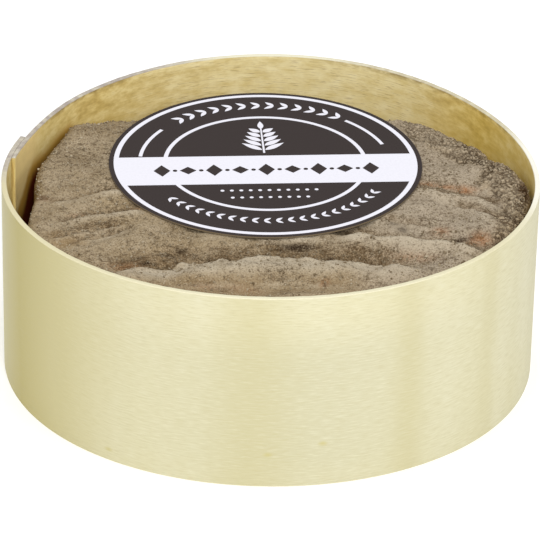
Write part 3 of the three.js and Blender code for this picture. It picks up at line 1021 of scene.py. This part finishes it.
# dark crevices, painted as shade
DARK_SPOTS = [
    # place on the plan, how long, how wide, how strong
    ((5.7, -26.5), 3.4, 0.8, 1.4), ((-18.3, -28.2), 1.5, 0.9, 0.9), ((-15.3, -30.4), 0.7, 0.7, 0.7),
    ((-12.1, -32.8), 1.0, 0.6, 0.9), ((-8.9, -31.8), 1.0, 0.5, 0.8), ((12.5, -30.6), 0.8, 0.8, 0.9),
    ((15.0, -19.2), 2.2, 0.6, 0.8), ((24.0, -24.0), 0.9, 0.7, 1.0), ((11.4, -41.3), 0.5, 0.8, 0.7),
    ((-25.7, -33.4), 1.8, 0.6, 1.0), ((-21.7, -30.1), 2.4, 0.5, 0.8), ((-27.8, -31.5), 1.4, 0.5, 0.7),
    ((-34.1, -4.0), 1.5, 0.6, 0.6), ((-48.2, -7.5), 1.0, 1.0, 0.7), ((39.2, -22.0), 2.6, 0.8, 1.0),
    ((42.4, -27.2), 1.6, 0.4, 0.8), ((27.7, -18.3), 1.0, 1.2, 0.7), ((25.7, -16.3), 1.4, 0.6, 0.6),
    ((-37.9, -13.8), 1.6, 0.5, 0.5), ((-31.5, -11.8), 2.6, 0.6, 0.5), ((-9.0, -43.2), 3.0, 0.5, 0.35),
    ((-15.0, -42.6), 2.0, 0.5, 0.3),
]
DAMP_SPOTS = [((54.6, 0.4), 1.9, 3.2, 1.0)]
BROWN_SPOTS = [((-42, -26.5), 4.6, 2.0, 1.7), ((-45, -23.8), 2.5, 1.6, 1.2)]
WALL_STAIN_REACH = 2.6


# how far a place lies below its neighbours; the finish paints hollows darker and bumps paler
hollow = relaxed(rind[..., 2], HOLLOW_RELAX_TIMES) - rind[..., 2]
damp = spots(DAMP_SPOTS)
brown = spots(BROWN_SPOTS)
plan_reach = np.linalg.norm(rind[..., :2] - MIDDLE, axis=-1)
from_the_side = plan_reach.max(axis=1, keepdims=True) - plan_reach
at_the_wall = 1 - smooth(from_the_side / WALL_STAIN_REACH)
turn_round = np.degrees(np.arctan2(plan_y, plan_x)) % 360
by_the_gap = ramp(turn_round, 140, 150) * ramp(turn_round, 196, 184)
far_right = ramp(plan_x, 34, 43)
# painted shade: cracks between clumps, the lips' steps and the dark crevices are painted dark
cracks = np.maximum(0.8 * crack_between, 0.6 * missing) * (0.6 + 0.4 * far_right)
dark = np.maximum(step_edge * 1.1 * facing_up + caked * cracks, spots(DARK_SPOTS))
front_brown = np.maximum(ramp(-plan_y, 36, 41) * ramp(np.abs(plan_x + 6), 34, 20), brown)
crumbly = 0.35 + 0.35 * unevenness(net, 9.0, 26) + 0.7 * furrow - 0.35 * crest
crumbly = crumbly - 0.3 * caked - 0.25 * front_brown
# paler crests and clump tops: partly real dust, partly painted light on faces turned to the light
dust_and_painted_light = crest * mix(1, 0.45, ramp(plan_x, 18, 32)) * mix(1, 0.35, ramp(plan_x, -33, -42))
dust_and_painted_light = np.maximum(dust_and_painted_light, 0.2 * caked * clump)
dust_and_painted_light = np.maximum(dust_and_painted_light, spots(PALE_SPOTS)) * (1 - np.clip(brown, 0, 1))
print("hollows from %.2f to %.2f mm" % (hollow.min(), hollow.max()))


# %% Finish of the rind
CRACK_WOBBLE = 1.2


def crack_lines(ash):
    """1 in the middle of a thin crack between two clumps of caked ash, and 0 on the clumps."""
    values = {"Vector": ash.place, "Scale": 1 / (CRACK_WOBBLE * MM), "Detail": 2.0}
    wobble = ash.add("ShaderNodeTexNoise", values).outputs[1]
    values = {0: wobble, 1: (CLUMP_SIZE * MM,) * 3, 2: ash.place}
    moved = ash.add("ShaderNodeVectorMath", values, operation="MULTIPLY_ADD").outputs[0]
    values = {"Vector": moved, "Scale": 1 / (CLUMP_SIZE * MM)}
    edges = ash.add("ShaderNodeTexVoronoi", values, feature="DISTANCE_TO_EDGE").outputs["Distance"]
    return ash.scaled(edges, 0.02, 0.15, 1, 0)


def rind_finish():
    ash = Finish("ash_rind", roughness=0.95, specular=0.15)
    speckle = ash.noise(0.36, roughness=0.6)
    motes = ash.noise(1.3, 3.0, 0.65)
    patches = ash.noise(7.0, 3.0, 0.55)
    clouds = ash.noise(16.0)
    crumbs, hollow_shading = ash.painted("crumbly"), ash.painted("hollow")
    clustered = ash.plus(motes, ash.times(crumbs, 0.12))
    specks = ash.plus(speckle, ash.times(crumbs, 0.14))
    light = ash.times(ash.scaled(speckle, 0.27, 0.45, 0.45, 0), ash.scaled(crumbs, 0.3, 1, 1, 0.45))
    lines = ash.times(crack_lines(ash), ash.broken("caked", patches, 0.35, 0.6, 0.2, 0.85))
    base = ash.blend(ash.scaled(patches, 0.35, 0.65), shade(168, 151, 124), shade(145, 127, 99))
    ash.colour(ash.coats(base, [
        (ash.scaled(clouds, 0.48, 0.68, 0, 0.5), (156, 135, 102)),
        (ash.painted("greyer"), (174, 162, 146)),
        (ash.painted("front_brown"), (142, 120, 87)),
        (ash.scaled(ash.painted("caked"), 0, 1, 0, 0.5), (188, 166, 132)),
        # partly dust, partly painted light on the crests
        (ash.broken("dust_and_painted_light", motes, 0.3, 0.6, 0.65), (190, 177, 154)),
        # brown behind each lip: partly real tint, partly painted shade from the lip
        (ash.broken("furrow", motes, 0.3, 0.65, 0.5, 0.95), (134, 110, 78)),
        # painted shade in hollows, and painted light on bumps in the next coat
        (ash.scaled(hollow_shading, 0.05, 0.6, 0, 0.5), (114, 94, 64)),
        (ash.scaled(hollow_shading, -0.5, -0.08, 0.4, 0), (188, 176, 154)),
        (ash.broken("at_the_wall", motes, 0.3, 0.65, 0.2, 0.6), (124, 100, 56)),
        (ash.broken("rust", motes, 0.35, 0.62, 0.4), (158, 100, 50)),
        (ash.painted("damp"), (84, 52, 26)),
        (ash.scaled(clustered, 0.56, 0.7, 0, 0.65), (84, 66, 42)),
        (ash.scaled(specks, 0.55, 0.78, 0, 0.8), (66, 50, 32)),
        (light, (206, 194, 172)),
        # painted shade in crevices, steps and cracks
        (ash.broken("dark", speckle, 0.3, 0.55, 0.6), (46, 32, 18)),
        # thin cracks painted dark, as painted shade
        (lines, (64, 44, 20)),
    ]))
    grit_height = ash.times(speckle, ash.scaled(crumbs, 0, 1, 0.5, 1.0))
    ash.relief([(grit_height, 0.16), (motes, 0.16), (ash.scaled(lines, 0, 1, 1, 0), 0.2)])
    return ash.material


cheese = build_cheese(rind_finish())
rind_numbers = {
    "hollow": hollow,
    "furrow": furrow * facing_up,
    "front_brown": 0.5 * front_brown,
    "greyer": 0.5 * ramp(plan_x, 5, 30),
    "dust_and_painted_light": dust_and_painted_light * facing_up,
    "crumbly": np.clip(crumbly, 0, 1),
    "dark": np.clip(dark, 0, 1),
    "at_the_wall": at_the_wall * (1 + 1.2 * by_the_gap),
    "rust": spots(RUST_SPOTS),
    "damp": damp,
    "caked": caked * (0.65 + 0.35 * far_right),
}
for number_name, net_values in rind_numbers.items():
    store_numbers(cheese, number_name, stored(net_values))


# %% [markdown]
# ## Loose ash
#
# Some ash has crumbled and lies loose. It is made as real grains, each a small dented lump,
# because a bump can't cast a shadow. One mesh holds them all: the script picks points of the
# net, more of them where the ash is coarse or the rind is hollow, and sets a grain on each,
# turned and sized at random from a seeded draw.

# %% Scatter the grains
GRAIN_COUNT = 6500
GRAIN_SMALL, GRAIN_LARGE = 0.10, 0.34
GRAIN_RISE, GRAIN_DENTS = 0.2, 0.28


def lump_shape():
    shape = bmesh.new()
    bmesh.ops.create_icosphere(shape, subdivisions=1, radius=1.0)
    points = np.array([v.co for v in shape.verts])
    shape.verts.index_update()
    faces = [tuple(v.index for v in f.verts) for f in shape.faces]
    shape.free()
    return points, faces


def loose_ash_finish():
    ash = Finish("loose_ash", roughness=0.95, specular=0.2)
    dusty = ash.noise(0.2)
    base = ash.blend(ash.painted("tone"), shade(108, 91, 66), shade(190, 177, 153))
    ash.colour(ash.coats(base, [(ash.scaled(dusty, 0.4, 0.7, 0, 0.4), (120, 104, 82))]))
    ash.relief([(dusty, 0.05)])
    return ash.material


def cell_areas():
    """How much of the surface each point of the net stands for."""
    round_the_net = np.roll(rind, -1, 0) - np.roll(rind, 1, 0)
    return np.linalg.norm(np.cross(np.gradient(rind, axis=1), round_the_net), axis=-1)


def scatter_grains():
    rng = np.random.default_rng(5)
    unit, unit_faces = lump_shape()
    normals = outward(rind)
    off_the_label = np.linalg.norm(rind[..., :2] - LABEL_MIDDLE, axis=-1) > LABEL_RADIUS + 0.4
    wanted = np.clip(0.25 + 0.9 * crumbly, 0.1, 1.2) * (1 - damp)
    wanted = wanted * (normals[..., 2] > 0.3) * off_the_label
    chance = (wanted * cell_areas()).ravel()
    picked = rng.choice(chance.size, GRAIN_COUNT, replace=False, p=chance / chance.sum())
    sizes = GRAIN_SMALL + (GRAIN_LARGE - GRAIN_SMALL) * rng.random(GRAIN_COUNT) ** 3
    tones = rng.random(GRAIN_COUNT) * (1 - 0.6 * furrow.ravel()[picked])
    points, faces, shades = [], [], []
    for k, index in enumerate(picked):
        at = rind.reshape(-1, 3)[index] + normals.reshape(-1, 3)[index] * sizes[k] * GRAIN_RISE
        turn = np.array(Matrix.Rotation(rng.random() * 6.3, 3, Vector(rng.normal(size=3))))
        dents = 1 + GRAIN_DENTS * rng.normal(size=(len(unit), 1))
        squash = 0.55 + 0.6 * rng.random(3)
        first = len(points) * len(unit)
        points.append(at + (unit * dents * squash * sizes[k]) @ turn.T)
        faces += [tuple(first + v for v in f) for f in unit_faces]
        shades += [tones[k]] * len(unit)
    points = np.vstack(points)
    grains = make_piece("loose_ash_grains", points, faces, [loose_ash_finish()], shade_smooth=False)
    store_numbers(grains, "tone", shades)
    return grains


grains = scatter_grains()


# %% [markdown]
# ## The label
#
# The label is a disc of coated card. Its print is plain fields of colour: a dark ground, a
# white ring, a white band across, an inner ring, and small ornaments. An image would be
# quicker, but it blurs close up. Here each field is a thin shape of ink laid on the one
# below, a few hundredths of a millimetre thick, so every edge stays crisp at any distance.
# The card's cut side isn't printed and shows its brown core.

# %% Card and inks
def ink_finish(name, colour, roughness):
    ink = Finish(name, roughness=roughness, specular=0.25)
    fleck = ink.noise(0.6)
    darker = tuple(c * 0.96 for c in colour[:3]) + (1.0,)
    ink.colour(ink.blend(ink.scaled(fleck, 0.3, 0.7), colour, darker))
    ink.relief([(fleck, 0.002)])
    return ink.material


DARK_INK = ink_finish("dark_ink", shade(49, 39, 37), 0.6)
WHITE_INK = ink_finish("white_ink", shade(238, 237, 246), 0.6)
CARD_CORE = ink_finish("card_core", shade(128, 113, 90), 0.9)
INKS = [DARK_INK, WHITE_INK, CARD_CORE]
DARK, WHITE, CORE = 0, 1, 2

LABEL_TURN = math.radians(4.4)
INK_THICK = 0.02
CARD_TOP = label_high[2] - 4 * INK_THICK
CARD_STEPS = 240
ON_CARD, ON_RING, ON_BAND = 0, 1, 2


# %% Ink shapes
class InkSheet:
    """Collects flat shapes of ink, given on the label's own plan, and makes one mesh of them."""

    def __init__(self):
        self.points = []
        self.faces = []
        self.slots = []

    def place(self, flat, z):
        flat = np.asarray(flat, dtype=float)
        c, s = math.cos(LABEL_TURN), math.sin(LABEL_TURN)
        x = flat[:, 0] * c - flat[:, 1] * s + LABEL_MIDDLE[0]
        y = flat[:, 0] * s + flat[:, 1] * c + LABEL_MIDDLE[1]
        return np.stack([x, y, np.full(len(flat), z)], axis=-1)

    def slab(self, outline, bottom, top, flat_faces, ink, side_ink):
        """A thin closed slab with an outline, between two heights."""
        first = sum(len(p) for p in self.points)
        count = len(outline)
        self.points += [self.place(outline, bottom), self.place(outline, top)]
        self.faces += [tuple(first + v for v in reversed(f)) for f in flat_faces]
        self.faces += [tuple(first + count + v for v in f) for f in flat_faces]
        for a in range(count):
            b = (a + 1) % count
            self.faces.append((first + a, first + b, first + count + b, first + count + a))
        self.slots += [ink] * (2 * len(flat_faces)) + [side_ink] * count

    def lay(self, outline, flat_faces, level, ink):
        bottom = CARD_TOP + level * INK_THICK
        self.slab(outline, bottom, bottom + INK_THICK, flat_faces, ink, ink)

    def patch(self, outline, level, ink):
        """A shape inside one outline, walked anticlockwise."""
        self.lay(outline, [tuple(range(len(outline)))], level, ink)

    def arc(self, inner, outer, start, end, level, ink):
        """Part of a ring, from one angle in degrees to another."""
        steps = max(2, int(abs(end - start) / 360 * CARD_STEPS))
        angles = np.radians(np.linspace(start, end, steps + 1))
        ring = np.stack([np.cos(angles), np.sin(angles)], axis=-1)
        outline = np.vstack([ring * outer, ring[::-1] * inner])
        n = len(outline)
        self.lay(outline, [(k, k + 1, n - 2 - k, n - 1 - k) for k in range(steps)], level, ink)


def circle(radius, steps=CARD_STEPS, middle=(0, 0)):
    a = np.linspace(0, 2 * math.pi, steps, endpoint=False)
    return np.stack([middle[0] + radius * np.cos(a), middle[1] + radius * np.sin(a)], axis=-1)


def leaf(root, heading, long, wide):
    """A pointed leaf from its root along a heading in degrees."""
    t = np.linspace(0, 1, 9)
    half = wide / 2 * np.sin(math.pi * t ** 0.8)
    edge = np.vstack([np.stack([t * long, -half], -1), np.stack([t * long, half], -1)[-2:0:-1]])
    a = math.radians(heading)
    turn = np.array([[math.cos(a), -math.sin(a)], [math.sin(a), math.cos(a)]])
    return edge @ turn.T + np.asarray(root)


def lozenge(middle, long, wide):
    x, y = middle
    return np.array([(x + long / 2, y), (x, y + wide / 2), (x - long / 2, y), (x, y - wide / 2)])


def on_circle(radius, angle):
    return np.array([radius * math.cos(math.radians(angle)), radius * math.sin(math.radians(angle))])


# %% [markdown]
# The rings and the band are laid first, as fields. Ornaments follow: leaf garlands round the
# dark ring, lozenges and dots along the band, a sprig above it and two rows of dots below.

# %% Rings and band
sheet = InkSheet()
BORDER = 1.0
RING_OUT = LABEL_RADIUS - BORDER
RING_IN = RING_OUT - 1.05
BAND_LOW, BAND_HIGH = -9.65, 3.25
INNER_OUT, INNER_IN = 22.0, 21.1
ARC_OUT, ARC_IN = 27.4, 26.6
LOZENGE_PITCH = 5.6


def band_outline(reach):
    high = math.degrees(math.asin(BAND_HIGH / reach))
    low = math.degrees(math.asin(BAND_LOW / reach))
    right = np.linspace(low, high, 16)
    left = np.linspace(180 - high, 180 - low, 16)
    return np.array([on_circle(reach, a) for a in np.concatenate([right, left])])


def lay_fields():
    sheet.arc(RING_IN, RING_OUT, 0, 360, ON_CARD, WHITE)
    sheet.patch(band_outline(RING_IN + 0.4), ON_RING, WHITE)
    above = math.degrees(math.asin(BAND_HIGH / INNER_OUT))
    below = math.degrees(math.asin(BAND_LOW / INNER_OUT))
    for start, end in ((above, 180 - above), (180 - below, 360 + below)):
        sheet.arc(INNER_IN, INNER_OUT, start, end, ON_CARD, WHITE)
    for start, end in ((143, 172), (17, 46)):
        sheet.arc(ARC_IN, ARC_OUT, start, end, ON_CARD, WHITE)


lay_fields()


# %% Ornaments
def lay_garland(radius, start, end, count, long, wide):
    """Pairs of leaves along an arc."""
    for angle in np.linspace(start, end, count):
        root = on_circle(radius, angle)
        for side in (-1, 1):
            sheet.patch(leaf(root, angle + 90 + side * 38, long, wide), ON_CARD, WHITE)


def lay_band_ornament():
    middle = (BAND_LOW + BAND_HIGH) / 2
    for k in range(-4, 5):
        wide = 5.2 if k % 2 == 0 else 3.4
        sheet.patch(lozenge((k * LOZENGE_PITCH, middle), 3.6, wide), ON_BAND, DARK)
        if k < 4:
            sheet.patch(circle(0.5, 14, ((k + 0.5) * LOZENGE_PITCH, middle)), ON_BAND, DARK)


def lay_sprig():
    for k in range(5):
        y = 6.0 + 2.1 * k
        for side in (-1, 1):
            long = 5.4 - 0.6 * k
            sheet.patch(leaf((side * 0.3, y), 90 - side * 52, long, 1.5), ON_CARD, WHITE)
    sheet.patch(leaf((0, 16.0), 90, 3.6, 1.3), ON_CARD, WHITE)
    stem = np.array([(0.22, 4.6), (0.16, 16.4), (-0.16, 16.4), (-0.22, 4.6)])
    sheet.patch(stem, ON_RING, WHITE)


def lay_dots():
    for y, half in ((-12.6, 10), (-15.8, 8)):
        for x in np.arange(-half, half + 0.1, 2.0):
            sheet.patch(circle(0.42, 12, (x, y)), ON_CARD, WHITE)


lay_garland(27.3, 50, 128, 13, 2.6, 1.0)
lay_garland(26.3, 216, 326, 21, 1.9, 0.75)
lay_band_ornament()
lay_sprig()
lay_dots()


# %% Build the card and join the ink to it
def build_label():
    card = InkSheet()
    whole = [tuple(range(CARD_STEPS))]
    card.slab(circle(LABEL_RADIUS), label_low[2], CARD_TOP, whole, DARK, CORE)
    first = sum(len(p) for p in card.points)
    points = np.vstack(card.points + sheet.points)
    faces = card.faces + [tuple(first + v for v in f) for f in sheet.faces]
    return make_piece("card_label", points, faces, INKS, card.slots + sheet.slots, shade_smooth=False)


label = build_label()


# %% [markdown]
# ## Put the pieces on the frame
#
# Each piece rides on the frame's one body and stands for its plain solid, which is then not
# shown. The loose grains belong to the cheese.

# %% Ride and replace
for piece, node, slot in (
    (hoop, "case_hoop", "pale_wood"),
    (board, "case_board", "board_wood"),
    (cheese, "cheese", "ash_rind"),
    (label, "label", "label_card"),
):
    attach(piece, "root")
    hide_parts(node)

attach(grains, "root")


# %% [markdown]
# ## Floor, light and camera
#
# A pale floor under even studio light shows a pale object without glare. One wide soft light
# stands high in front, a little to the right, as a window would, a second one hangs above, and
# the surroundings fill the shadows. The floor glows a little of its own, so that it comes out
# white without more light on the cheese. The camera is a long lens from far off, looking down
# by 29 degrees.

# %% Floor and light
FLOOR_REACH = 3000
FLOOR_GLOW = 0.16
SURROUNDINGS = 0.6
WHITE_LIGHT = (1, 1, 1, 1)
LIGHT_AIM = (0, 0, 0.02)
LIGHTS = [
    # name, place in metres, width in metres, power in watts
    ("window_light", (0.2, -1.39, 0.95), 0.6, 13.2),
    ("top_light", (-0.1, 0.1, 1.4), 1.0, 5.6),
]


def build_stage():
    signs = ((-1, -1), (1, -1), (1, 1), (-1, 1))
    corners = [(x * FLOOR_REACH, y * FLOOR_REACH, 0) for x, y in signs]
    floor = make_piece("studio_floor", corners, [(0, 1, 2, 3)], [floor_finish()])


def floor_finish():
    paper = Finish("pale_floor", roughness=0.9, specular=0.1)
    paper.colour(paper.blend(paper.noise(40), shade(250, 250, 250), shade(248, 248, 248)))
    paper.shader.inputs["Emission Color"].default_value = WHITE_LIGHT
    paper.shader.inputs["Emission Strength"].default_value = FLOOR_GLOW
    return paper.material


def soft_light(name, place, aim, size, power):
    lamp = bpy.data.lights.new(name, "AREA")
    lamp.shape = "DISK"
    lamp.size = size
    lamp.energy = power
    light = bpy.data.objects.new(name, lamp)
    light.location = place
    light.rotation_euler = (Vector(aim) - Vector(place)).to_track_quat("-Z", "Y").to_euler()
    bpy.context.scene.collection.objects.link(light)


build_stage()
for lamp_name, lamp_place, lamp_size, lamp_power in LIGHTS:
    soft_light(lamp_name, lamp_place, LIGHT_AIM, lamp_size, lamp_power)

world = bpy.data.worlds.new("studio")
world.use_nodes = True
background = world.node_tree.nodes["Background"]
background.inputs["Color"].default_value = WHITE_LIGHT
background.inputs["Strength"].default_value = SURROUNDINGS
bpy.context.scene.world = world
bpy.context.scene.view_settings.view_transform = "Standard"


# %% Camera
CAMERA_DISTANCE = 0.912
CAMERA_TILT = 28.70
CAMERA_ROLL = 1.19
LENS = 282.8
SENSOR = 36.0
SHIFT_RIGHT, SHIFT_UP = 0.0007, -0.0143


def set_camera():
    data = bpy.data.cameras.new("camera")
    data.lens = LENS
    data.sensor_width = SENSOR
    data.shift_x = SHIFT_RIGHT
    data.shift_y = SHIFT_UP
    camera = bpy.data.objects.new("camera", data)
    target = Vector((MIDDLE[0] * MM, MIDDLE[1] * MM, CASE_HEIGHT * MM / 2))
    tilt = math.radians(CAMERA_TILT)
    back = Vector((0, -math.cos(tilt), math.sin(tilt)))
    turn = Matrix.Rotation(math.radians(90 - CAMERA_TILT), 4, "X")
    roll = Matrix.Rotation(math.radians(CAMERA_ROLL), 4, "Z")
    camera.matrix_world = Matrix.Translation(target + back * CAMERA_DISTANCE) @ turn @ roll
    bpy.context.scene.collection.objects.link(camera)
    bpy.context.scene.camera = camera


set_camera()
